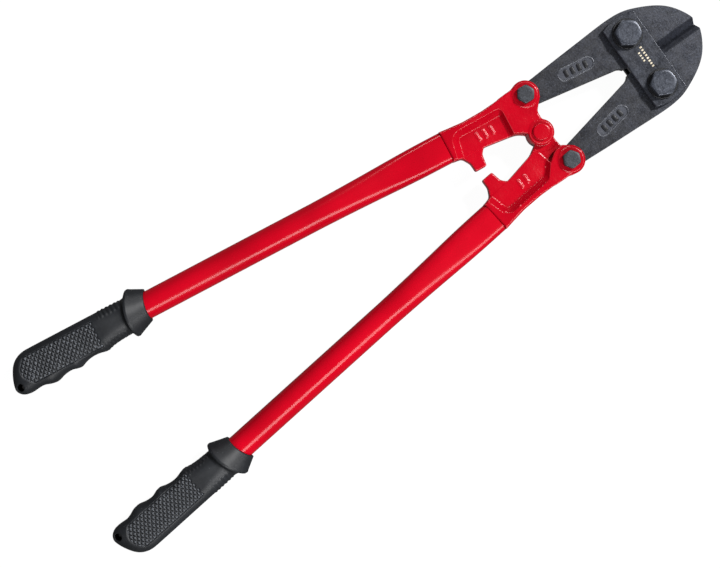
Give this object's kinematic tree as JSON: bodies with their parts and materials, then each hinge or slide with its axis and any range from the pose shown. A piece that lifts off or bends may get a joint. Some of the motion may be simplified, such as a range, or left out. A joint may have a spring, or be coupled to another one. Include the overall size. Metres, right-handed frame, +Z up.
{
  "type": "bolt cutter",
  "caption": "Centre-cut bolt cutter with compound-leverage jaws, cast handle heads, tapered tube handles and moulded rubber grips",
  "frame": {"origin": "centre of the bounding box in plan, at the base plane under the jaw bolt ends", "axes": "+X from the grips to the jaw tips, +Y toward the left handle, +Z up along the pivots"},
  "size_m": [0.6014, 0.1832, 0.0403],
  "materials": {
    "jaw_steel": "black oxide forging, satin",
    "plate_steel": "black oxide plate, satin",
    "bolt_steel": "black oxide fastener, satin",
    "red_casting": "gloss enamel on cast steel",
    "red_tube": "gloss enamel on steel tube",
    "grip_rubber": "matte moulded rubber"
  },
  "bodies": {
    "head": {"top_clamp_plate": "plate_steel", "bottom_clamp_plate": "plate_steel", "left_jaw_bolt": "bolt_steel", "right_jaw_bolt": "bolt_steel", "left_jaw_washer": "bolt_steel", "right_jaw_washer": "bolt_steel", "left_spring_washer": "bolt_steel", "right_spring_washer": "bolt_steel", "left_jaw_nut": "bolt_steel", "right_jaw_nut": "bolt_steel"},
    "left_blade": {"left_blade": "jaw_steel"},
    "right_blade": {"right_blade": "jaw_steel"},
    "left_handle": {"fork_casting": "red_casting", "center_rivet": "red_casting", "left_tail_bolt": "bolt_steel", "left_tail_nut": "bolt_steel", "left_tube": "red_tube", "left_grip": "grip_rubber"},
    "right_handle": {"tongue_casting": "red_casting", "right_tail_bolt": "bolt_steel", "right_tail_nut": "bolt_steel", "right_tube": "red_tube", "right_grip": "grip_rubber"}
  },
  "joints": [
    {"name": "left_jaw_pivot", "type": "hinge", "parent": "head", "child": "left_blade", "pos_m": [0.25078, 0.02132, 0.02065], "axis": [0, 0, 1], "range_deg": [0, 9]},
    {"name": "right_jaw_pivot", "type": "hinge", "parent": "head", "child": "right_blade", "pos_m": [0.25078, -0.02548, 0.02065], "axis": [0, 0, -1], "range_deg": [0, 9]},
    {"name": "left_handle_pivot", "type": "hinge", "parent": "left_blade", "child": "left_handle", "pos_m": [0.15928, 0.02862, 0.02065], "axis": [0, 0, -1], "range_deg": [0, 59]},
    {"name": "right_handle_pivot", "type": "hinge", "parent": "right_blade", "child": "right_handle", "pos_m": [0.15928, -0.03278, 0.02065], "axis": [0, 0, 1], "range_deg": [0, 59]}
  ],
  "couplings": [
    {"joint": "left_jaw_pivot", "follows": "left_handle_pivot", "ratio": 0.15254},
    {"joint": "right_jaw_pivot", "follows": "left_handle_pivot", "ratio": 0.15254},
    {"joint": "right_handle_pivot", "follows": "left_handle_pivot", "ratio": 1}
  ]
}
